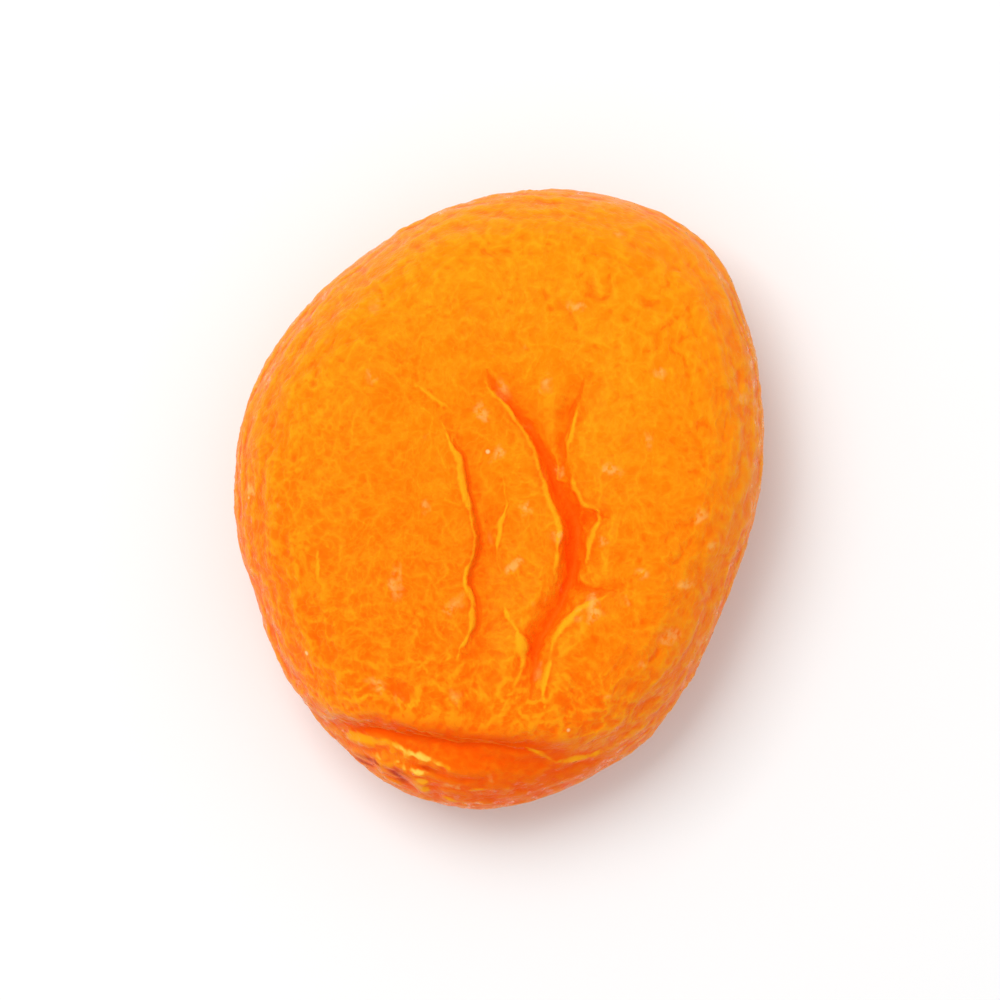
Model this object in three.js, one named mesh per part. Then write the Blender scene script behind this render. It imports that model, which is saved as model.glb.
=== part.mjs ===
// A dried apricot: one whole fruit, stoned through its stem end, pressed flat and dried in one piece.
// Millimetres, +Z up. The fruit lies on its underside, at Z = 0. X runs across it, and Y runs along it,
// from the puckered stem end at -Y to the blossom end at +Y. The origin is under the middle of its box.

import * as THREE from "three";
import { ImprovedNoise } from "three/addons/math/ImprovedNoise.js";
import { mergeVertices } from "three/addons/utils/BufferGeometryUtils.js";

// Driving dimensions
const LENGTH = 43.1;
const WIDTH = 36.2;
const THICKNESS = 15;
const HALF = new THREE.Vector2(WIDTH / 2, LENGTH / 2);
const MEAN_RADIUS = (WIDTH + LENGTH) / 4;

// How fine the skin is: each edge of an icosahedron is split into FINENESS + 1, and CROWDING draws
// that share of the points from the underside to the creased upper face.
const FINENESS = 23;
const CROWDING = 0.15;

// The outline from above, anticlockwise from +X, in shares of half the width and half the length
const OUTLINE = [
  [1.0, 0.11],
  [0.995, 0.31],
  [0.955, 0.53],
  [0.85, 0.76],
  [0.67, 0.9],
  [0.43, 0.98],
  [0.14, 1.0],
  [-0.15, 0.955],
  [-0.44, 0.83],
  [-0.72, 0.63],
  [-0.91, 0.41],
  [-0.99, 0.17],
  [-0.985, -0.08],
  [-0.93, -0.29],
  [-0.84, -0.5],
  [-0.71, -0.69],
  [-0.52, -0.84],
  [-0.31, -0.945],
  [-0.09, -0.995],
  [0.14, -0.965],
  [0.35, -0.895],
  [0.56, -0.76],
  [0.74, -0.55],
  [0.87, -0.31],
  [0.965, -0.08],
];

// Half of a section through the fruit, from the middle of its upper face, over the plump ring and
// round the rim, to the flat spot: shares of the radius there and of the thickness
const SECTION = [
  [0, 0.955],
  [0.1, 0.956],
  [0.26, 0.96],
  [0.44, 0.975],
  [0.6, 0.975],
  [0.75, 0.93],
  [0.87, 0.83],
  [0.96, 0.67],
  [1, 0.48],
  [0.97, 0.3],
  [0.875, 0.175],
  [0.73, 0.095],
  [0.55, 0.045],
  [0.4, 0.016],
  [0.27, -0.004],
  [0.14, -0.014],
  [0, -0.018],
];

// The shallow basin that the middle creases lie in: its middle in shares, its reach and its depth
const BASIN = { middle: [0.12, -0.1], reach: [7, 11.5], depth: 0.9 };

// The creases of the upper face. Each runs through places given in shares of half the width and half
// the length, each with the crease's depth there in millimetres. Its left and right banks have a width.
const CREASES = {
  furrow: {
    through: [
      [-0.06, 0.42, 0],
      [0.0, 0.345, 0.5],
      [0.09, 0.26, 0.85],
      [0.16, 0.162, 1.05],
      [0.21, 0.064, 1.2],
      [0.262, -0.034, 1.45],
      [0.296, -0.114, 1.6],
      [0.288, -0.203, 1.45],
      [0.258, -0.291, 1.35],
      [0.2, -0.381, 1.25],
      [0.15, -0.461, 1.15],
      [0.13, -0.541, 0.9],
      [0.12, -0.66, 0],
    ],
    banks: [1.1, 0.75],
  },
  rightArm: {
    through: [
      [0.35, 0.4, 0],
      [0.3, 0.31, 0.55],
      [0.255, 0.224, 0.9],
      [0.23, 0.117, 1.0],
      [0.245, 0.0, 0.9],
      [0.28, -0.09, 0],
    ],
    banks: [0.85, 0.85],
  },
  cusp: {
    through: [
      [0.345, -0.075, 0.9],
      [0.385, -0.08, 0.7],
      [0.44, -0.085, 0],
    ],
    banks: [0.65, 0.65],
  },
  sideBranch: {
    through: [
      [0.325, -0.3, 0.6],
      [0.4, -0.31, 0.55],
      [0.52, -0.29, 0],
    ],
    banks: [0.8, 0.8],
  },
  panelCrease: {
    through: [
      [0.01, 0.1, 0],
      [0.035, -0.02, 0.4],
      [0.005, -0.1, 0.45],
      [-0.01, -0.19, 0.35],
      [0.02, -0.3, 0],
    ],
    banks: [0.75, 0.75],
  },
  stemFold: {
    through: [
      [-0.76, -0.68, 0],
      [-0.62, -0.72, 0.5],
      [-0.47, -0.735, 0.75],
      [-0.33, -0.762, 0.85],
      [-0.19, -0.778, 0.85],
      [-0.02, -0.795, 0.75],
      [0.13, -0.803, 0.55],
      [0.3, -0.795, 0.25],
      [0.5, -0.72, 0],
    ],
    banks: [0.8, 1.1],
  },
  stemPuckerLeft: {
    through: [
      [-0.4, -0.69, 0.3],
      [-0.37, -0.63, 0.35],
      [-0.39, -0.54, 0],
    ],
    banks: [0.8, 0.8],
  },
  stemPuckerMiddle: {
    through: [
      [-0.08, -0.72, 0.3],
      [-0.1, -0.66, 0.35],
      [-0.06, -0.58, 0],
    ],
    banks: [0.8, 0.8],
  },
  stemPuckerRight: {
    through: [
      [0.31, -0.72, 0.3],
      [0.28, -0.66, 0.35],
      [0.32, -0.56, 0],
    ],
    banks: [0.8, 0.8],
  },
};

// The edges where a fold of skin lies over what is beside it: on the left of the line the skin stands
// up, and on its right, over the edge's width, it drops by the step given with each place in
// millimetres. It comes back over the panel's width.
const OVERLAPS = {
  leftLobe: {
    through: [
      [-0.18, -0.62, 0],
      [-0.13, -0.5, 0.35],
      [-0.11, -0.42, 0.5],
      [-0.115, -0.33, 0.55],
      [-0.13, -0.27, 0.55],
      [-0.105, -0.2, 0.6],
      [-0.1, -0.13, 0.6],
      [-0.12, -0.05, 0.55],
      [-0.145, 0.03, 0.5],
      [-0.165, 0.12, 0.42],
      [-0.215, 0.2, 0.28],
      [-0.28, 0.3, 0],
    ],
    edge: 0.45,
    panel: 2.6,
  },
  stemLip: {
    through: [
      [-0.8, -0.64, 0],
      [-0.62, -0.7, 0.25],
      [-0.47, -0.713, 0.35],
      [-0.33, -0.74, 0.45],
      [-0.19, -0.756, 0.5],
      [-0.02, -0.772, 0.45],
      [0.13, -0.782, 0.35],
      [0.3, -0.775, 0.2],
      [0.55, -0.68, 0],
    ],
    edge: 1.2,
    panel: 4.5,
  },
};

// The soft folds of the underside, given as the creases are, from the rim in to the flat spot
const UNDER_FOLDS = {
  stemSide: {
    through: [
      [-0.15, -0.95, 0],
      [-0.12, -0.8, 1.0],
      [-0.2, -0.64, 0.9],
      [-0.14, -0.44, 0],
    ],
    banks: [1.5, 1.2],
  },
  stemSideBranch: {
    through: [
      [-0.14, -0.78, 0.8],
      [0.04, -0.68, 0.8],
      [0.2, -0.62, 0.5],
      [0.34, -0.56, 0],
    ],
    banks: [1.3, 1.3],
  },
  leftCheek: {
    through: [
      [-0.95, 0.1, 0],
      [-0.78, 0.05, 0.7],
      [-0.6, 0.1, 0.6],
      [-0.44, 0.04, 0],
    ],
    banks: [1.6, 1.3],
  },
  blossomSide: {
    through: [
      [0.2, 0.92, 0],
      [0.12, 0.78, 0.8],
      [0.2, 0.62, 0.7],
      [0.1, 0.42, 0],
    ],
    banks: [1.4, 1.4],
  },
  rightCheek: {
    through: [
      [0.95, -0.1, 0],
      [0.8, -0.14, 0.6],
      [0.62, -0.06, 0.5],
      [0.46, -0.1, 0],
    ],
    banks: [1.5, 1.5],
  },
};

const LIP_SHARE = 0.16; // the skin swells beside a crease by this share of its depth
const EDGE_SWELL = 0.5; // and beside an overlap's edge by this share of its step
const EDGE_SWELL_WIDTH = 1.5;
const GATHERING = 0.5; // to keep the lines sharp, the skin's points are drawn towards them by this share
const GATHERED_FROM = 1.1; // from about this far

// What drying does to the whole fruit
const LEAN = 0.5; // the blossom end and the left side stay thicker than the stem end by this much
const LEAN_TOWARDS = THREE.MathUtils.degToRad(125);
const RIM_SWAY = 0.7; // the rim's widest line rises and falls by this much
const LUMP_HEIGHT = 0.3;
const LUMP_SIZE = 8;
const RIM_EVENNESS = 0.6; // the rim's lumps are lower by this share, so the outline is smooth
const WRINKLE_HEIGHT = 0.07; // the wrinkles that run round the rim
const WRINKLE_SPACING = 2.4;
const WRINKLE_STRAY = 3.4; // how far noise bends them from running level
const WRINKLE_STRAY_SIZE = 9;
const PUCKER_DEPTH = 0.35; // the radial puckers of the underside
const PUCKERS = 13;

const noise = new ImprovedNoise();
const { clamp, euclideanModulo, smoothstep } = THREE.MathUtils;
const TAU = 2 * Math.PI;

const onFace = ([across, along, depth = 0]) =>
  new THREE.Vector3(across * HALF.x, along * HALF.y, depth);
const smoothLine = (places, closed = false) =>
  new THREE.CatmullRomCurve3(places, closed, "centripetal");

// The outline's radius at an angle from +X
const rimPoints = smoothLine(OUTLINE.map(onFace), true).getPoints(360);
const rimTurns = rimPoints.map((p) => Math.atan2(p.y, p.x));

function outlineRadius(turn) {
  for (let i = 1; i < rimPoints.length; i++) {
    const span = euclideanModulo(rimTurns[i] - rimTurns[i - 1], TAU);
    const into = euclideanModulo(turn - rimTurns[i - 1], TAU);
    if (into <= span) return rimPoints[i - 1].clone().lerp(rimPoints[i], into / span).length();
  }
  return MEAN_RADIUS;
}

// The section, walked at an even pace by getPointAt
const section = smoothLine(
  SECTION.map(([out, up]) => new THREE.Vector3(out * MEAN_RADIUS, up * THICKNESS, 0)),
);
section.arcLengthDivisions = 600;

// The point of the smooth cushion that lies in a direction from its middle. A direction's angle from
// +Z says how far along the section the point lies.
function cushion(direction) {
  const turn = Math.atan2(direction.y, direction.x);
  const share = Math.acos(clamp(direction.z, -1, 1)) / Math.PI;
  const along = section.getPointAt(share - CROWDING * Math.sin(Math.PI * share));
  const out = along.x / MEAN_RADIUS;
  const radius = out * outlineRadius(turn);
  const sway = RIM_SWAY * out ** 4 * Math.sin(2 * turn + 1);
  const lean = LEAN * out * (along.y / THICKNESS) * Math.cos(turn - LEAN_TOWARDS);
  return new THREE.Vector3(
    radius * Math.cos(turn),
    radius * Math.sin(turn),
    along.y + sway * smoothstep(along.y, 0, THICKNESS / 2) + lean,
  );
}

// The outward normal of the smooth cushion
function cushionNormal(direction, place) {
  const aside = new THREE.Vector3(-direction.z, direction.x, direction.y).cross(direction).normalize();
  const across = direction.clone().cross(aside);
  const step = 1e-3;
  const a = cushion(direction.clone().addScaledVector(aside, step).normalize()).sub(place);
  const b = cushion(direction.clone().addScaledVector(across, step).normalize()).sub(place);
  const normal = a.cross(b).normalize();
  const outward = new THREE.Vector3(place.x, place.y, place.z - THICKNESS / 2);
  return normal.dot(outward) < 0 ? normal.negate() : normal;
}

// A crease's or an overlap's line as points, each with the depth there as its z
const drawn = (shape) => ({ ...shape, points: smoothLine(shape.through.map(onFace)).getSpacedPoints(48) });
const creases = Object.values(CREASES).map(drawn);
const overlaps = Object.values(OVERLAPS).map(drawn);
const underFolds = Object.values(UNDER_FOLDS).map(drawn);

// Where a place lies from the nearest point of a line: how far, how far to the line's right, and the
// line's depth there
function nearestOn(line, place) {
  let best = { distance: Infinity };
  for (let i = 1; i < line.points.length; i++) {
    const [from, to] = [line.points[i - 1], line.points[i]];
    const run = new THREE.Vector2(to.x - from.x, to.y - from.y);
    const offset = new THREE.Vector2(place.x - from.x, place.y - from.y);
    const along = clamp(offset.dot(run) / run.lengthSq(), 0, 1);
    const away = offset.sub(run.clone().multiplyScalar(along));
    const distance = away.length();
    if (distance < best.distance) {
      const right = run.y * away.x > run.x * away.y ? distance : -distance;
      best = { distance, right, away, depth: THREE.MathUtils.lerp(from.z, to.z, along) };
    }
  }
  return best;
}

const bump = (distance, width) => Math.exp(-((distance / width) ** 2));

// A place of the skin, drawn sideways towards the lines beside it
function gathered(place, lines, facing) {
  let pull = 0;
  const shift = new THREE.Vector3();
  for (const line of lines) {
    const { distance, away, depth } = nearestOn(line, place);
    const strength = facing * GATHERING * bump(distance, GATHERED_FROM) * smoothstep(depth, 0, 0.4);
    pull += strength;
    shift.add(new THREE.Vector3(away.x, away.y, 0).multiplyScalar(-strength));
  }
  return place.clone().add(shift.divideScalar(Math.max(pull / GATHERING, 1)));
}

// How far creases and overlaps lower or raise a place. Where creases meet, the deepest counts.
function foldsAt(place, creases, overlaps) {
  let [dip, swell, rise] = [0, 0, 0];
  for (const crease of creases) {
    const { distance, right, depth } = nearestOn(crease, place);
    const bank = crease.banks[right < 0 ? 0 : 1];
    dip = Math.max(dip, depth * bump(distance, bank));
    swell = Math.max(swell, LIP_SHARE * depth * bump(distance - 2 * bank, bank));
  }
  for (const fold of overlaps) {
    const { distance, right, depth } = nearestOn(fold, place);
    const over = right < 0 ? 1 : bump(distance, fold.edge);
    rise += EDGE_SWELL * depth * over * bump(distance, EDGE_SWELL_WIDTH);
    if (right > 0) rise -= depth * (1 - over) * bump(distance, fold.panel);
  }
  return rise + swell * (1 - Math.min(dip, 1)) - dip;
}

function basinAt(place) {
  const middle = onFace(BASIN.middle);
  const across = (place.x - middle.x) / BASIN.reach[0];
  const along = (place.y - middle.y) / BASIN.reach[1];
  return -BASIN.depth * bump(Math.hypot(across, along), 1);
}

// Lumps all over, wrinkles round the rim, and puckers that run from the rim under the fruit
function dryingAt(place) {
  const lump = noise.noise(place.x / LUMP_SIZE, place.y / LUMP_SIZE, place.z / LUMP_SIZE + 3.7);
  const stray = WRINKLE_STRAY * noise.noise(
    place.x / WRINKLE_STRAY_SIZE + 9.1,
    place.y / WRINKLE_STRAY_SIZE,
    place.z / WRINKLE_STRAY_SIZE,
  );
  const turn = Math.atan2(place.y, place.x);
  const out = Math.hypot(place.x, place.y) / outlineRadius(turn);
  const round = Math.sin((TAU * (place.z - 0.9 * THICKNESS * out + stray)) / WRINKLE_SPACING);
  const onRim = smoothstep(out, 0.6, 0.9);
  const under = smoothstep(out, 0.4, 0.75) * (1 - smoothstep(place.z, 0, THICKNESS / 2));
  const swirl = 5 * noise.noise(2 * Math.cos(turn), 2 * Math.sin(turn), out);
  const pucker = 0.5 + 0.5 * Math.sin(PUCKERS * turn + swirl);
  const lumps = 2 * LUMP_HEIGHT * lump * (1 - RIM_EVENNESS * onRim);
  return lumps + WRINKLE_HEIGHT * onRim * round - PUCKER_DEPTH * under * pucker;
}

function skinPoint(direction) {
  const smooth = cushion(direction);
  const normal = cushionNormal(direction, smooth);
  const above = normal.z > 0;
  const facing = smoothstep(Math.abs(normal.z), 0, 0.4);
  const place = gathered(smooth, above ? [...creases, ...overlaps] : underFolds, facing);
  const folds = above ? foldsAt(place, creases, overlaps) + basinAt(place) : foldsAt(place, underFolds, []);
  place.addScaledVector(normal, dryingAt(place) + facing * folds);
  place.z = Math.max(place.z, 0);
  return place;
}

function apricotGeometry() {
  const ball = new THREE.IcosahedronGeometry(1, FINENESS);
  ball.deleteAttribute("normal");
  ball.deleteAttribute("uv");
  const skin = mergeVertices(ball, 1e-4);
  const points = skin.getAttribute("position");
  for (let i = 0; i < points.count; i++) {
    const direction = new THREE.Vector3().fromBufferAttribute(points, i).normalize();
    points.setXYZ(i, ...skinPoint(direction).toArray());
  }
  skin.computeBoundingBox();
  const middle = skin.boundingBox.getCenter(new THREE.Vector3());
  const size = skin.boundingBox.getSize(new THREE.Vector3());
  skin.translate(-middle.x, -middle.y, 0);
  skin.scale(WIDTH / size.x, LENGTH / size.y, THICKNESS / size.z);
  skin.computeVertexNormals();
  return skin;
}

const apricot = new THREE.Mesh(
  apricotGeometry(),
  new THREE.MeshStandardMaterial({ color: 0xff8a12, roughness: 0.5, metalness: 0 }),
);
apricot.name = "apricot";

const fruit = new THREE.Group();
fruit.add(apricot);

export default fruit;
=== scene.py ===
import math

import bmesh
import bpy
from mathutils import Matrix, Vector


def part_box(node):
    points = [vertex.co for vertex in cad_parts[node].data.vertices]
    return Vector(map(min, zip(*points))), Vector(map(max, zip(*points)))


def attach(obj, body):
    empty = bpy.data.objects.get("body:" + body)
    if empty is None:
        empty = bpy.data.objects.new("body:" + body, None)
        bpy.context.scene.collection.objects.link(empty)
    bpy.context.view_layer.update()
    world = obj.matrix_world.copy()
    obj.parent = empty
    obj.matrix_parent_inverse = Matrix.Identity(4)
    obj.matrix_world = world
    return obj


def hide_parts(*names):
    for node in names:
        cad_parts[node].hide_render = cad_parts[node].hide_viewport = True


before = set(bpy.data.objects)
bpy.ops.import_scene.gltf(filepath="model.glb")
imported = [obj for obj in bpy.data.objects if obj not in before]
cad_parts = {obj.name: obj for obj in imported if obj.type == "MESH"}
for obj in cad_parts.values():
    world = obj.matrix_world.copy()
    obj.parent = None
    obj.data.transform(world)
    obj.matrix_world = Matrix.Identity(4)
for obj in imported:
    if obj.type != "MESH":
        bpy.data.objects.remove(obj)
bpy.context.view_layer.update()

# The fruit's body: one whole apricot, stoned through its stem end and pressed flat, so it is a plump
# cushion of dried flesh. Its form is the CAD solid's, with each face split finely to be rounded off.
MM = 0.001
MERGE = 0.001 * MM
SPLITS = 3
body = bmesh.new()
body.from_mesh(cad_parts["apricot"].data)
bmesh.ops.remove_doubles(body, verts=body.verts, dist=MERGE)
bmesh.ops.subdivide_edges(body, edges=body.edges, cuts=SPLITS, use_grid_fill=True)
body_mesh = bpy.data.meshes.new("dried_apricot")
body.to_mesh(body_mesh)
body.free()
apricot = bpy.data.objects.new("dried_apricot", body_mesh)
bpy.context.scene.collection.objects.link(apricot)

# The folds of the skin, as lines drawn on the face from above. As the flesh dried it drew the skin
# into a forked furrow beside two plump lobes, and into a tuck across the stem end.
# Each place is in shares of half the width and half the length, with half the fold's width there in
# millimetres.
low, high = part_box("apricot")
HALF_WIDTH = (high.x - low.x) / 2
HALF_LENGTH = (high.y - low.y) / 2
THICKNESS = high.z - low.z
FURROW = (
    (-0.06, 0.4, 0), (-0.025, 0.349, 0.24), (0.05, 0.277, 0.32), (0.136, 0.171, 0.36), (0.2, 0.064, 0.42),
    (0.236, -0.008, 0.46), (0.28, -0.075, 0.66), (0.28, -0.114, 0.58), (0.272, -0.185, 0.44),
    (0.27, -0.25, 0.44), (0.245, -0.31, 0.4), (0.205, -0.381, 0.32), (0.155, -0.451, 0.3),
    (0.136, -0.523, 0.28), (0.123, -0.603, 0.22), (0.114, -0.665, 0),
)
RIGHT_ARM = ((0.33, 0.38, 0), (0.29, 0.3, 0.15), (0.25, 0.2, 0.21), (0.225, 0.1, 0.22), (0.215, 0.05, 0.15))
CUSP = ((0.3, -0.078, 0.5), (0.36, -0.078, 0.3), (0.41, -0.083, 0))
SIDE_BRANCH = ((0.28, -0.29, 0.35), (0.33, -0.3, 0.24), (0.39, -0.31, 0.14), (0.45, -0.3, 0))
STEM_TUCK = (
    (-0.6, -0.715, 0), (-0.52, -0.728, 0.22), (-0.43, -0.74, 0.32), (-0.32, -0.758, 0.36),
    (-0.18, -0.78, 0.34), (-0.03, -0.79, 0.28), (0.12, -0.8, 0.18), (0.24, -0.8, 0),
)
UNDER_THE_RIBBON = (
    (-0.36, -0.835, 0), (-0.28, -0.86, 0.24), (-0.22, -0.885, 0.24), (-0.14, -0.9, 0.18), (-0.02, -0.91, 0),
)
NOTCHES = (
    ((-0.62, -0.805, 0), (-0.54, -0.83, 0.36), (-0.48, -0.85, 0.4), (-0.42, -0.86, 0)),
    ((-0.46, -0.85, 0), (-0.4, -0.88, 0.36), (-0.35, -0.91, 0.4), (-0.29, -0.945, 0)),
    ((-0.3, -0.905, 0), (-0.25, -0.93, 0.3), (-0.17, -0.955, 0)),
)
BESIDE_THE_LEFT_LOBE = (
    (-0.17, 0.19, 0), (-0.135, 0.12, 0.12), (-0.115, 0.03, 0.15), (-0.09, -0.05, 0.16), (-0.07, -0.13, 0.17),
    (-0.075, -0.2, 0.17), (-0.1, -0.27, 0.16), (-0.085, -0.33, 0.15), (-0.08, -0.42, 0.12), (-0.12, -0.5, 0),
)
CREASES = (
    FURROW, RIGHT_ARM, CUSP, SIDE_BRANCH, STEM_TUCK, UNDER_THE_RIBBON, *NOTCHES, BESIDE_THE_LEFT_LOBE,
)
LEFT_LOBE_EDGE = (
    (-0.24, 0.27, 0), (-0.2, 0.19, 0.18), (-0.16, 0.12, 0.23), (-0.142, 0.03, 0.26), (-0.118, -0.05, 0.26),
    (-0.097, -0.13, 0.29), (-0.102, -0.2, 0.29), (-0.127, -0.27, 0.26), (-0.112, -0.33, 0.26),
    (-0.107, -0.42, 0.21), (-0.145, -0.5, 0.13), (-0.16, -0.58, 0),
)
LEFT_LOBE_TAIL = (
    (-0.38, 0.34, 0), (-0.31, 0.325, 0.08), (-0.246, 0.295, 0.1), (-0.178, 0.25, 0.08), (-0.15, 0.2, 0),
)
LEFT_LOBE_FOLD = ((-0.34, 0.07, 0), (-0.28, 0.05, 0.1), (-0.22, 0.025, 0.13), (-0.161, -0.025, 0))
PANEL_EDGE = (
    (-0.07, 0.36, 0), (-0.02, 0.315, 0.14), (0.035, 0.26, 0.17), (0.093, 0.19, 0.18), (0.131, 0.12, 0.18),
    (0.155, 0.05, 0.18), (0.185, -0.01, 0.18), (0.215, -0.078, 0.2), (0.22, -0.168, 0.2),
    (0.205, -0.25, 0.16), (0.19, -0.31, 0),
)
PANEL_RIDGE = (
    (0.01, 0.09, 0), (0.02, 0.02, 0.14), (0.03, -0.03, 0.18), (0.002, -0.1, 0.18), (-0.01, -0.18, 0.14),
    (0.01, -0.28, 0),
)
RIGHT_LOBE_EDGE = (
    (0.33, 0.33, 0), (0.285, 0.25, 0.13), (0.255, 0.17, 0.18), (0.25, 0.1, 0.18), (0.27, 0.02, 0.18),
    (0.315, -0.034, 0.18), (0.37, -0.075, 0.16), (0.345, -0.123, 0.16), (0.33, -0.185, 0.18),
    (0.34, -0.256, 0.16), (0.38, -0.3, 0),
)
LEFT_BANK = (
    (0.0, -0.33, 0), (0.03, -0.39, 0.27), (0.07, -0.44, 0.35), (0.092, -0.51, 0.35), (0.07, -0.59, 0.27),
    (0.03, -0.65, 0),
)
RIGHT_BANK = (
    (0.42, -0.315, 0), (0.34, -0.345, 0.18), (0.265, -0.385, 0.23), (0.21, -0.445, 0.23),
    (0.182, -0.52, 0.23), (0.165, -0.6, 0.18), (0.175, -0.72, 0),
)
CRINKLES = (
    ((-0.775, -0.434, 0), (-0.707, -0.523, 0.08), (-0.648, -0.621, 0.1), (-0.542, -0.647, 0.1),
     (-0.436, -0.626, 0.1), (-0.326, -0.669, 0.1), (-0.267, -0.615, 0.1), (-0.241, -0.669, 0.1),
     (-0.199, -0.733, 0)),
    ((-0.457, -0.647, 0), (-0.411, -0.585, 0.08), (-0.309, -0.598, 0.1), (-0.224, -0.559, 0)),
    ((-0.123, -0.514, 0), (-0.161, -0.576, 0.1), (-0.119, -0.633, 0.1), (-0.097, -0.719, 0)),
    ((0.013, -0.58, 0), (0.034, -0.63, 0.1), (0.0, -0.704, 0.1), (0.034, -0.747, 0)),
    ((0.305, -0.63, 0), (0.284, -0.679, 0.08), (0.309, -0.719, 0.08), (0.241, -0.747, 0)),
    ((0.443, -0.229, 0), (0.47, -0.292, 0.1), (0.54, -0.33, 0)),
    ((-0.69, -0.13, 0), (-0.68, -0.22, 0.08), (-0.692, -0.31, 0.08), (-0.73, -0.39, 0)),
)
STEM_RIBBON = (
    (-0.64, -0.735, 0), (-0.56, -0.755, 0.29), (-0.47, -0.775, 0.39), (-0.37, -0.8, 0.44),
    (-0.27, -0.83, 0.39), (-0.2, -0.86, 0.21), (-0.15, -0.88, 0),
)
STRANDS = (
    ((-0.5, -0.81, 0), (-0.47, -0.823, 0.28), (-0.432, -0.842, 0)),
    ((-0.4, -0.835, 0), (-0.375, -0.855, 0.28), (-0.35, -0.88, 0)),
    ((-0.36, -0.855, 0), (-0.31, -0.87, 0.31), (-0.24, -0.876, 0)),
    ((-0.34, -0.888, 0), (-0.29, -0.902, 0.31), (-0.22, -0.908, 0)),
    ((-0.32, -0.912, 0), (-0.285, -0.928, 0.27), (-0.24, -0.945, 0)),
)
STEM_PLEAT = (
    (0.08, -0.785, 0), (0.14, -0.81, 0.2), (0.196, -0.84, 0.29), (0.28, -0.832, 0.24), (0.37, -0.812, 0.18),
    (0.46, -0.775, 0),
)
LIP_LINES = (
    ((-0.27, -0.91, 0), (-0.21, -0.95, 0.11), (-0.1, -0.972, 0.11), (0.03, -0.964, 0)),
    ((-0.2, -0.91, 0), (-0.12, -0.93, 0.1), (0.0, -0.933, 0.1), (0.157, -0.914, 0)),
)
RIDGES = (
    LEFT_LOBE_EDGE, LEFT_LOBE_TAIL, LEFT_LOBE_FOLD, PANEL_EDGE, PANEL_RIDGE, RIGHT_LOBE_EDGE, LEFT_BANK,
    RIGHT_BANK, *CRINKLES, STEM_RIBBON, *STRANDS, STEM_PLEAT, *LIP_LINES,
)


def face_lines(name, lines):
    """A curve object with a spline for each line; a point's radius is half the fold's width there."""
    curve = bpy.data.curves.new(name, "CURVE")
    curve.dimensions = "3D"
    for line in lines:
        spline = curve.splines.new("BEZIER")
        spline.bezier_points.add(len(line) - 1)
        for point, (across, along, half_width) in zip(spline.bezier_points, line):
            point.co = (across * HALF_WIDTH, along * HALF_LENGTH, 0)
            point.handle_left_type = "AUTO"
            point.handle_right_type = "AUTO"
            point.radius = half_width * MM
    made = bpy.data.objects.new(name, curve)
    bpy.context.scene.collection.objects.link(made)
    return made


crease_lines = face_lines("crease_lines", CREASES)
ridge_lines = face_lines("ridge_lines", RIDGES)

# The skin: a thin leathery sheet that shrank with the flesh, so it is wrinkled all over, with soft
# wrinkles, bumps and thin crinkles on the face, and long streaks and pleats round the rim.
# A Geometry Nodes tree raises them, draws the folds sharply, and keeps masks for the skin's colour and for
# the painted highlights and painted shade laid on it.
SKIN_SIZES = {
    "Rounding": 9,
    "Line spacing": 0.12 * MM,
    "Line stray": 0.55 * MM,
    "Crease steepness": 0.45,
    "Ridge steepness": 0.85,
    "Wrinkle spacing": 3.4 * MM,
    "Wrinkle depth": 0.14 * MM,
    "Bump spacing": 1.3 * MM,
    "Bump height": 0.1 * MM,
    "Crinkle spacing": 1.5 * MM,
    "Crinkle height": 0.035 * MM,
    "Streak length": 7.0 * MM,
    "Streak spacing": 0.9 * MM,
    "Streak height": 0.16 * MM,
    "Pleat length": 10.0 * MM,
    "Pleat spacing": 2.6 * MM,
    "Pleat height": 0.26 * MM,
    "Tuck fill": 0.3 * MM,
    "Seed": 7,
}
THINNEST = 0.001 * MM

# How far apart the lumps are of the noise that bends, breaks and fades what is on the skin
SWIRL_SPACING = 4.0 * MM
SWIRL_REACH = 3.2 * MM
STRAY_SPACING = 2.0 * MM
BREAK_SPACING = 1.5 * MM
TEAR_SPACING = 0.7 * MM
CALM_SPACING = 6.0 * MM
BEND_SPACING = 9.0 * MM
BEND = 4.0
FADE_SPACING = 5.0 * MM


class Field:
    """A number at every place of a piece. Arithmetic on it adds math nodes to its tree."""

    def __init__(self, socket):
        self.socket = socket

    def do(self, operation, *others):
        tree = self.socket.id_data
        made = tree.nodes.new("ShaderNodeMath")
        made.operation = operation
        for slot, value in zip(made.inputs, (self, *others)):
            plug(tree, slot, value)
        return Field(made.outputs[0])

    def __add__(self, other):
        return self.do("ADD", other)

    def __sub__(self, other):
        return self.do("SUBTRACT", other)

    def __mul__(self, other):
        return self.do("MULTIPLY", other)

    def __truediv__(self, other):
        return self.do("DIVIDE", other)

    def __rsub__(self, other):
        return self.do("MULTIPLY_ADD", -1.0, other)

    def bell(self, width):
        """One at zero, and falling off evenly over a width on both sides."""
        ratio = self / width
        return (ratio * ratio * -1.0).do("EXPONENT")

    def step(self, start, end, low=0.0, high=1.0):
        """A smooth step from low to high as the number goes from start to end."""
        tree = self.socket.id_data
        made = tree.nodes.new("ShaderNodeMapRange")
        made.interpolation_type = "SMOOTHSTEP"
        for slot, value in zip(made.inputs, (self, start, end, low, high)):
            plug(tree, slot, value)
        return Field(made.outputs[0])

    def folded(self):
        """Noise folded at its middle value, which makes it a net of thin lines, one on each line."""
        return 1.0 - (self * 2.0 - 1.0).do("ABSOLUTE")


def plug(tree, slot, value):
    """Links a field or a socket to a slot, or sets its value."""
    if isinstance(value, Field):
        tree.links.new(value.socket, slot)
    elif isinstance(value, bpy.types.NodeSocket):
        tree.links.new(value, slot)
    else:
        slot.default_value = value


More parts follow.
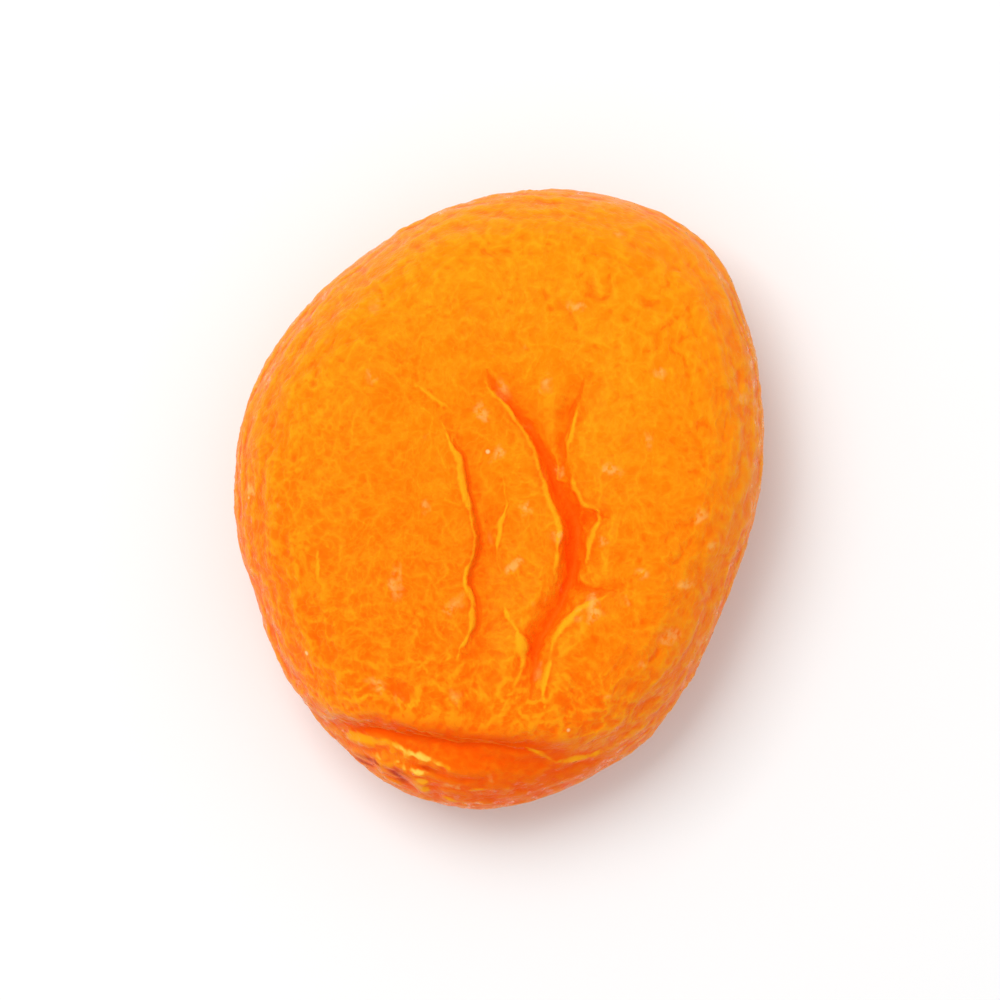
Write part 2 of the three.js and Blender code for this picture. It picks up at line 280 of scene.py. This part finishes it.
def add(tree, kind, inputs=(), **settings):
    """A new node with its settings, and its inputs linked or set by name or by number."""
    made = tree.nodes.new(kind)
    for name, value in settings.items():
        setattr(made, name, value)
    for name, value in dict(inputs).items():
        plug(tree, made.inputs[name], value)
    return made


def parts(vector):
    """The three numbers of a vector socket."""
    return [Field(number) for number in add(vector.id_data, "ShaderNodeSeparateXYZ", {0: vector}).outputs]


def joined(x, y, z):
    return add(x.socket.id_data, "ShaderNodeCombineXYZ", {0: x, 1: y, 2: z}).outputs[0]


def noise(place, spacing, seed, detail=2.0):
    """Noise from 0 to 1, with its lumps about spacing apart."""
    scale = spacing.do("POWER", -1.0) if isinstance(spacing, Field) else 1 / spacing
    inputs = {"Vector": place, "W": seed, "Scale": scale, "Detail": detail}
    return Field(add(place.id_data, "ShaderNodeTexNoise", inputs, noise_dimensions="4D").outputs[0])


def swirled(place, spacing, reach, seed):
    """A place pushed about by noise, so what is laid on it bends as the drying skin did."""
    tree = place.id_data
    inputs = {"Vector": place, "W": seed, "Scale": 1 / spacing, "Detail": 1.0}
    push = add(tree, "ShaderNodeTexNoise", inputs, noise_dimensions="4D").outputs["Color"]
    even = add(tree, "ShaderNodeVectorMath", {0: push, 1: (0.5, 0.5, 0.5)}, operation="SUBTRACT").outputs[0]
    moved = add(tree, "ShaderNodeVectorMath", {0: even, "Scale": reach}, operation="SCALE").outputs[0]
    return add(tree, "ShaderNodeVectorMath", {0: place, 1: moved}, operation="ADD").outputs[0]


def crinkled(place, spacing, seed):
    """The skin's loose net of thin crests, from near 0 between them to 1 on a crest."""
    rows = swirled(place, SWIRL_SPACING, SWIRL_REACH, seed)
    return noise(rows, spacing, seed + 1.0, detail=3.0).folded().do("POWER", 8.0)


skin_tree = bpy.data.node_groups.new("dried_skin", "GeometryNodeTree")
skin_tree.interface.new_socket("Geometry", in_out="OUTPUT", socket_type="NodeSocketGeometry")
skin_tree.interface.new_socket("Geometry", in_out="INPUT", socket_type="NodeSocketGeometry")
skin_tree.interface.new_socket("Creases", in_out="INPUT", socket_type="NodeSocketObject")
skin_tree.interface.new_socket("Ridges", in_out="INPUT", socket_type="NodeSocketObject")
skin_tree.interface.new_socket("Skin", in_out="INPUT", socket_type="NodeSocketMaterial")
for size_name, size in SKIN_SIZES.items():
    size_kind = "NodeSocketInt" if isinstance(size, int) else "NodeSocketFloat"
    skin_tree.interface.new_socket(size_name, in_out="INPUT", socket_type=size_kind)
given = skin_tree.nodes.new("NodeGroupInput").outputs
sizes = {size_name: Field(given[size_name]) for size_name in SKIN_SIZES}
seed = sizes["Seed"]


def nearest_line(lines, place):
    """How far a place on the face is from the nearest of an object's lines, and its half width there."""
    tree = lines.id_data
    curve = add(tree, "GeometryNodeObjectInfo", {"Object": lines}).outputs["Geometry"]
    inputs = {"Curve": curve, "Length": sizes["Line spacing"]}
    even = add(tree, "GeometryNodeResampleCurve", inputs, mode="LENGTH").outputs["Curve"]
    kept = add(tree, "GeometryNodeCaptureAttribute", {"Geometry": even}, domain="POINT")
    kept.capture_items.new("FLOAT", "Half width")
    plug(tree, kept.inputs["Half width"], add(tree, "GeometryNodeInputRadius").outputs[0])
    drawn = add(tree, "GeometryNodeCurveToMesh", {"Curve": kept.outputs["Geometry"]}).outputs["Mesh"]
    inputs = {0: drawn, "Sample Position": place}
    near = add(tree, "GeometryNodeProximity", inputs, target_element="EDGES")
    index = add(tree, "GeometryNodeSampleNearest", inputs, domain="POINT").outputs["Index"]
    inputs = {"Geometry": drawn, "Value": kept.outputs["Half width"], "Index": index}
    half_width = add(tree, "GeometryNodeSampleIndex", inputs, data_type="FLOAT", domain="POINT")
    return Field(near.outputs["Distance"]), Field(half_width.outputs["Value"])


# The faceted solid is rounded off first.
place = add(skin_tree, "GeometryNodeInputPosition").outputs[0]
normal = add(skin_tree, "GeometryNodeInputNormal").outputs[0]


def blurred_place(iterations):
    blur = {"Value": place, "Iterations": iterations}
    return add(skin_tree, "GeometryNodeBlurAttribute", blur, data_type="FLOAT_VECTOR").outputs[0]


rounded = add(
    skin_tree,
    "GeometryNodeSetPosition",
    {"Geometry": given["Geometry"], "Position": blurred_place(sizes["Rounding"])},
).outputs[0]

# Where a place is on the fruit
x, y, z = parts(place)
_, _, facing_up = parts(normal)
above = facing_up.step(0.05, 0.5)
across = x / HALF_WIDTH
along = y / HALF_LENGTH
out = (across * across + along * along).do("SQRT")
rim = out.step(0.5, 0.95)

# Where the stem end is torn: the middle of an oval and its half sizes, in the same shares
TORN_ACROSS = -0.4
TORN_ALONG = -0.85
TORN_HALF_WIDTH = 0.2
TORN_HALF_LENGTH = 0.07
torn_across = (across - TORN_ACROSS) / TORN_HALF_WIDTH
torn_along = (along - TORN_ALONG) / TORN_HALF_LENGTH
torn = (torn_across * torn_across + torn_along * torn_along).step(1.0, 0.3) * above

# The folds: their lines stray a little, as pinched skin does. A crease is a soft-sided valley, and the
# skin swells beside it. A ridge is a thin crest, broken up along its line.
SWELL_PLACE = 2.2
SWELL_SHARE = 0.2
stray = sizes["Line stray"]
stray_x = (noise(place, STRAY_SPACING, seed + 1.0, detail=5.0) - 0.5) * stray * 2.0
stray_y = (noise(place, STRAY_SPACING, seed + 2.0, detail=5.0) - 0.5) * stray * 2.0
on_face = joined(x + stray_x, y + stray_y, z * 0.0)
crease_distance, crease_width = nearest_line(given["Creases"], on_face)
ridge_distance, ridge_width = nearest_line(given["Ridges"], on_face)
breaks = noise(place, BREAK_SPACING, seed + 3.0).step(0.35, 0.65, 0.3, 1.1)
tears = noise(place, TEAR_SPACING, seed + 13.0).step(0.36, 0.5) * torn + (1.0 - torn)
crease_width = crease_width * above + THINNEST
ridge_width = ridge_width * above * breaks * tears + THINNEST
crease_floor = (crease_distance / crease_width).bell(0.9)
crease_swell = (crease_distance / crease_width - SWELL_PLACE).bell(0.9)
ridge = (ridge_distance / ridge_width).bell(1.0)
folds = (crease_swell * SWELL_SHARE - crease_floor) * crease_width * sizes["Crease steepness"]
folds = folds + ridge * ridge_width * sizes["Ridge steepness"]

# The tuck runs aslant across the stem end, and the lip is what lies below it.
TUCK_PLACE = 0.765
TUCK_SLANT = 0.1
below_tuck = along * -1.0 - across * TUCK_SLANT - TUCK_PLACE
lip = below_tuck.step(-0.02, 0.05) * across.step(-0.4, -0.1, 0.1, 1.0) * across.step(0.6, 0.3, 0.3, 1.0)
tuck_band = (below_tuck - 0.02).bell(0.035) * across.step(0.4, 0.1) * across.step(-0.7, -0.45)

# The broad soft wrinkles, stronger in some patches than in others
patches = noise(place, CALM_SPACING, seed + 4.0, detail=1.0).step(0.35, 0.65, 0.3, 1.0)
net = noise(place, sizes["Wrinkle spacing"], seed + 5.0, detail=2.0).folded()
wrinkles = (net * net * net) * patches * sizes["Wrinkle depth"] * -1.0

# The skin's bumps, low and uneven, in rows that bend with it
rows = swirled(place, SWIRL_SPACING, SWIRL_REACH, seed + 6.0)
bumps = (noise(rows, sizes["Bump spacing"], seed + 7.0, detail=5.0) - 0.5) * 2.0

# The crinkles: thin crests all over, higher where the tuck gathers the skin
gathers = (along * -1.0).step(0.48, 0.7, 1.0, 2.9) * (along * -1.0).step(0.8, 0.73, 0.2, 1.0)
crinkles = crinkled(place, sizes["Crinkle spacing"], seed) * gathers * (1.0 - ridge) * (1.0 - crease_floor)

# The streaks and the pleats run round the rim: their noise is long round the fruit and short across
# the rim, and is rolled over it. They are low on the face's side of the rim and stand out below it.
ROLL = 0.9
facing_aside = facing_up.step(0.75, 0.2, 0.35, 1.0)
bend = noise(place, BEND_SPACING, seed + 9.0) * BEND
climb = z - out * THICKNESS * ROLL


def round_the_rim(length, spacing, seed):
    """A net of crests round the rim, from 0 between them to 1 on a crest."""
    turns = length.do("POWER", -1.0) * HALF_WIDTH
    rolled = joined(across / out * turns, along / out * turns, climb / spacing + bend)
    return noise(rolled, 1.0, seed, detail=3.0).folded().do("POWER", 3.0)


streaks = round_the_rim(sizes["Streak length"], sizes["Streak spacing"], seed + 10.0)
streaks = streaks * noise(place, FADE_SPACING, seed + 11.0).step(0.35, 0.6, 0.3, 1.0)
pleats = round_the_rim(sizes["Pleat length"], sizes["Pleat spacing"], seed + 12.0)
by_the_tuck = (below_tuck + 0.02).bell(0.08) * across.step(0.4, 0.1)
round_rim = rim * facing_aside * (1.0 - lip * 0.7) * (1.0 - by_the_tuck * 0.7)

# All of it together raises the skin, and nothing goes below the table.
folds = folds + tuck_band * above * sizes["Tuck fill"]
relief = folds + wrinkles + bumps * sizes["Bump height"] + crinkles * sizes["Crinkle height"]
relief = relief + (streaks * sizes["Streak height"] + pleats * sizes["Pleat height"]) * round_rim
push = {0: normal, "Scale": relief}
offset = add(skin_tree, "ShaderNodeVectorMath", push, operation="SCALE").outputs[0]
raised = add(skin_tree, "GeometryNodeSetPosition", {"Geometry": rounded, "Offset": offset}).outputs[0]
on_the_table = {"Geometry": raised, "Position": joined(x, y, z.do("MAXIMUM", 0.0))}
resting = add(skin_tree, "GeometryNodeSetPosition", on_the_table).outputs[0]


def stands_out(iterations, size):
    """How far a place stands out of the skin round it, blurred in rounds, in shares of a size."""
    spots = {0: place, 1: blurred_place(iterations)}
    away = add(skin_tree, "ShaderNodeVectorMath", spots, operation="SUBTRACT").outputs[0]
    outward = add(skin_tree, "ShaderNodeVectorMath", {0: away, 1: normal}, operation="DOT_PRODUCT")
    return Field(outward.outputs["Value"]) / size


CREST_HEIGHT = 0.02 * MM
CREST_ROUNDS = 4
HOLLOW_DEPTH = 0.2 * MM
HOLLOW_ROUNDS = 60
FULL_CREASE = 0.4 * MM
FULL_RIDGE = 0.15 * MM
CREASE_SHADE_REACH = 1.2 * MM
crease_strength = (crease_width / FULL_CREASE).do("MINIMUM", 1.0)
# The masks carry painted light too: painted highlights on crests and ridges, and painted shade in hollows,
# in and beside the creases, along the tuck and on the lip.
masks = {
    "crest": stands_out(CREST_ROUNDS, CREST_HEIGHT),
    "hollow": stands_out(HOLLOW_ROUNDS, HOLLOW_DEPTH) * -1.0,
    "fold": crease_floor * crease_strength,
    "ridge": ridge * (ridge_width / FULL_RIDGE).do("MINIMUM", 1.0),
    "flush": (crease_distance / CREASE_SHADE_REACH).bell(1.0) * crease_strength,
    # The lip mask places painted shade: a painted shadow band along the tuck, and painted shade on the lip
    # below it.
    "lip": tuck_band.do("MAXIMUM", lip * 0.75) * above,
    "torn": torn,
    "rim": rim * facing_aside,
}
dressed = resting
for mask_name, mask in masks.items():
    dressed = add(
        skin_tree,
        "GeometryNodeStoreNamedAttribute",
        {"Geometry": dressed, "Name": mask_name, "Value": mask},
        data_type="FLOAT",
        domain="POINT",
    ).outputs[0]
coat = {"Geometry": dressed, "Material": given["Skin"]}
coated = add(skin_tree, "GeometryNodeSetMaterial", coat).outputs[0]
realized = add(skin_tree, "GeometryNodeRealizeInstances", {"Geometry": coated}).outputs[0]
plug(skin_tree, skin_tree.nodes.new("NodeGroupOutput").inputs["Geometry"], realized)

# The skin's finish: soft translucent orange flesh under a thin skin with a satin sheen. It is mottled, with
# tiny pores and a few pale specks.
# Painted highlights make it amber on its crests, painted shade makes it red-orange where it is folded in,
# and painted light makes it lighter at one end and side.
DEEP_ORANGE = (0.97, 0.105, 0.001, 1)
ORANGE = (1.0, 0.13, 0.001, 1)
AMBER = (1.0, 0.24, 0.002, 1)
SHADE_RED_ORANGE = (0.97, 0.075, 0.001, 1)
HIGHLIGHT_AMBER = (1.0, 0.38, 0.008, 1)
STRAW = (1.0, 0.62, 0.09, 1)
NOTCH_SHADE_RED = (0.5, 0.014, 0.001, 1)
SHEEN = (1.0, 0.43, 0.1, 1)
PALE_SPECK = (1.0, 0.65, 0.3, 1)
PAINTED_LIGHT_SPACING = 9.0 * MM
MARK_SWIRL = 3.0 * MM
BLOTCH_SPACING = 2.2 * MM
DASH_SPACING = 0.7 * MM
MOTTLE_SPACING = 0.4 * MM
SQUIGGLE_SPACING = 0.7 * MM
SHEEN_SPACING = 3.4 * MM
FRAY_SPACING = 0.9 * MM
FRAY_REACH = 1.1 * MM
SPECK_SPACING = 4.5 * MM
skin_material = bpy.data.materials.new("fruit_skin")
skin_material.use_nodes = True
paint = skin_material.node_tree
finish = paint.nodes["Principled BSDF"]
skin_place = add(paint, "ShaderNodeTexCoord").outputs["Object"]


def mixed(share, first, second):
    made = add(paint, "ShaderNodeMix", {"Factor": share}, data_type="RGBA")
    plug(paint, made.inputs[6], first)
    plug(paint, made.inputs[7], second)
    return made.outputs[2]


def mask(name):
    return Field(add(paint, "ShaderNodeAttribute", attribute_name=name).outputs["Fac"])


def cells(vector, spacing, edge, middle):
    """Spots about spacing apart, from 0 at their edge to 1 in their middle, in shares of it."""
    made = add(paint, "ShaderNodeTexVoronoi", {"Vector": vector, "Scale": 1 / spacing})
    return Field(made.outputs["Distance"]).step(edge, middle)


# Painted light: the skin is painted lighter and more amber towards its blossom end and its right side.
right, towards_blossom, _ = parts(skin_place)
lit_side = towards_blossom / HALF_LENGTH + right / HALF_WIDTH * 0.4
painted_light = (lit_side + noise(skin_place, PAINTED_LIGHT_SPACING, 1.0) * 0.5).step(-0.55, 1.15)
swirls = swirled(skin_place, MARK_SWIRL, MARK_SWIRL, 2.0)
blotches = noise(swirls, BLOTCH_SPACING, 3.0, detail=4.0).step(0.4, 0.7)
dashes = noise(swirls, DASH_SPACING, 4.0, detail=3.0).step(0.5, 0.68)
mottle = noise(skin_place, MOTTLE_SPACING, 5.0, detail=3.0).step(0.35, 0.7)
squiggles = crinkled(skin_place, SQUIGGLE_SPACING, 9.0)
crests = crinkled(skin_place, SKIN_SIZES["Crinkle spacing"], SKIN_SIZES["Seed"])
# Painted sheen: soft pale pinkish spots standing in for the skin's satin highlights, frayed at their edges.
frayed = swirled(swirls, FRAY_SPACING, FRAY_REACH, 6.0)
sheen_grain = noise(skin_place, MOTTLE_SPACING, 6.5).step(0.35, 0.6)
sheen = cells(frayed, SHEEN_SPACING, 0.23, 0.05) * sheen_grain
specks = cells(skin_place, SPECK_SPACING, 0.045, 0.02)

# The colours are laid one over another, each by its share at a place, from the broad ones to the small.
LAYERS = (
    # painted light, lighter and more amber towards the blossom end and the right side
    (painted_light, AMBER),
    (blotches * 0.35, DEEP_ORANGE),
    (dashes * 0.35, DEEP_ORANGE),
    (mottle * 0.3, AMBER),
    # painted highlights: pale amber on the crests of the fine grain and of the crinkles
    (squiggles * 0.3, HIGHLIGHT_AMBER),
    (crests * 0.3, HIGHLIGHT_AMBER),
    # painted highlights on the skin's small crests, a little weaker on the rim
    (mask("crest").step(0.1, 1.6) * mask("rim").step(0.3, 1.0, 0.5, 0.4), HIGHLIGHT_AMBER),
    # painted shade between the small crests
    ((mask("crest") * -1.0).step(0.1, 1.4) * 0.5, DEEP_ORANGE),
    # painted shade in the hollows
    (mask("hollow").step(0.0, 2.0) * 0.25, SHADE_RED_ORANGE),
    # painted shade beside the creases, broken up by the blotches
    (mask("flush") * blotches.step(0.0, 1.0, 0.3, 0.5), SHADE_RED_ORANGE),
    # painted shade on the crease floors
    (mask("fold").step(0.1, 1.0) * 0.3, SHADE_RED_ORANGE),
    # painted shade on the lip and a painted shadow along the tuck
    (mask("lip") * 0.8, SHADE_RED_ORANGE),
    # painted highlights along the ridge lines, standing in for light on the thin raised skin edges
    (mask("ridge").step(0.1, 0.8) * 0.9, HIGHLIGHT_AMBER),
    # pale straw torn fibres at the stem end, partly their own colour and partly a painted glint
    (mask("ridge").step(0.1, 0.9) * mask("torn"), STRAW),
    # painted shade in the notches of the torn stem end
    (mask("fold").step(0.1, 0.9) * mask("torn") * 0.9, NOTCH_SHADE_RED),
    # painted sheen spots, kept out of the creases
    (sheen * (1.0 - mask("fold")) * 0.7, SHEEN),
    (specks * 0.7, PALE_SPECK),
)
colour = ORANGE
for share, tint in LAYERS:
    colour = mixed(share, colour, tint)
plug(paint, finish.inputs["Base Color"], colour)

# The skin shines softly, and tiny spots on its rim glisten.
SHINE = 0.15
GLISTEN = 0.75
SHINE_TINT = (1.0, 0.5, 0.08, 1)
GLISTEN_TINT = (1.0, 0.85, 0.6, 1)
SPARKLE_SPACING = 0.6 * MM
GLOSS_SPACING = 1.4 * MM
LIGHT_REACH = 1.5 * MM
sparkles = noise(skin_place, SPARKLE_SPACING, 10.0, detail=3.0).step(0.56, 0.62)
sparkles = sparkles * mask("rim").step(0.4, 0.9)
shine = sparkles * (GLISTEN - SHINE) - mask("lip") * SHINE + SHINE
roughness = noise(skin_place, GLOSS_SPACING, 7.0).step(0.35, 0.7, 0.3, 0.48) - sparkles * 0.14
plug(paint, finish.inputs["Specular IOR Level"], shine)
plug(paint, finish.inputs["Specular Tint"], mixed(sparkles, SHINE_TINT, GLISTEN_TINT))
plug(paint, finish.inputs["Roughness"], roughness)
finish.subsurface_method = "BURLEY"
finish.inputs["Subsurface Weight"].default_value = 0.4
finish.inputs["Subsurface Radius"].default_value = (1.0, 0.35, 0.05)
finish.inputs["Subsurface Scale"].default_value = LIGHT_REACH

# Its grain and its pores are too fine for the mesh.
GRAIN_SPACING = 0.22 * MM
PORE_SPACING = 0.7 * MM
GRAIN_HEIGHT = 0.06 * MM
grain = noise(skin_place, GRAIN_SPACING, 8.0, detail=3.0) + squiggles * 0.5
pores = cells(skin_place, PORE_SPACING, 0.22, 0.08)
fine_relief = {"Height": grain - pores * 0.3, "Strength": 0.8, "Distance": GRAIN_HEIGHT}
plug(paint, finish.inputs["Normal"], add(paint, "ShaderNodeBump", fine_relief).outputs["Normal"])

# The skin is put on the fruit, and the drawing lines go.
skin = apricot.modifiers.new("dried_skin", "NODES")
skin.node_group = skin_tree
skin_inputs = {**SKIN_SIZES, "Creases": crease_lines, "Ridges": ridge_lines, "Skin": skin_material}
for socket in skin_tree.interface.items_tree:
    if socket.name in skin_inputs:
        skin[socket.identifier] = skin_inputs[socket.name]
graph = bpy.context.evaluated_depsgraph_get()
skin_mesh = bpy.data.meshes.new_from_object(
    apricot.evaluated_get(graph), preserve_all_data_layers=True, depsgraph=graph
)
apricot.modifiers.remove(skin)
apricot.data = skin_mesh
apricot.data.shade_smooth()
for lines in (crease_lines, ridge_lines):
    bpy.data.objects.remove(lines)
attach(apricot, "root")
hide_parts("apricot")

# The floor is a plain pale tabletop.
FLOOR_SIZE = 4.0
PALE_GREY = (0.9, 0.9, 0.9, 1)
bpy.ops.mesh.primitive_plane_add(size=FLOOR_SIZE)
floor = bpy.context.object
floor.name = "floor"
floor_material = bpy.data.materials.new("pale_floor")
floor_material.use_nodes = True
floor_finish = floor_material.node_tree.nodes["Principled BSDF"]
floor_finish.inputs["Base Color"].default_value = PALE_GREY
floor_finish.inputs["Roughness"].default_value = 0.7
floor.data.materials.append(floor_material)

# The light is a big soft window above the blossom end on the left, in a pale studio.
AIM = Vector((0, 0, 0.45 * THICKNESS))
WINDOW_PLACE = Vector((-0.2, 0.2, 0.55))
WINDOW_SIZE = 0.35
WINDOW_POWER = 2.2
STUDIO_BRIGHTNESS = 0.68
window_light = bpy.data.lights.new("window", "AREA")
window_light.size = WINDOW_SIZE
window_light.energy = WINDOW_POWER
window = bpy.data.objects.new("window", window_light)
window.location = WINDOW_PLACE
window.rotation_euler = (AIM - WINDOW_PLACE).to_track_quat("-Z", "Y").to_euler()
bpy.context.scene.collection.objects.link(window)
studio = bpy.data.worlds.new("studio")
studio.use_nodes = True
studio.node_tree.nodes["Background"].inputs["Color"].default_value = (1, 1, 1, 1)
studio.node_tree.nodes["Background"].inputs["Strength"].default_value = STUDIO_BRIGHTNESS
bpy.context.scene.world = studio
bpy.context.scene.view_settings.view_transform = "Standard"

# The camera looks down on the fruit's face, with its stem end towards the foot of the picture.
ELEVATION = math.radians(86)
DISTANCE = 0.27
LENS = 140
camera = bpy.data.objects.new("camera", bpy.data.cameras.new("camera"))
camera.data.lens = LENS
camera.location = AIM + DISTANCE * Vector((0, -math.cos(ELEVATION), math.sin(ELEVATION)))
camera.rotation_euler = (AIM - camera.location).to_track_quat("-Z", "Y").to_euler()
bpy.context.scene.collection.objects.link(camera)
bpy.context.scene.camera = camera
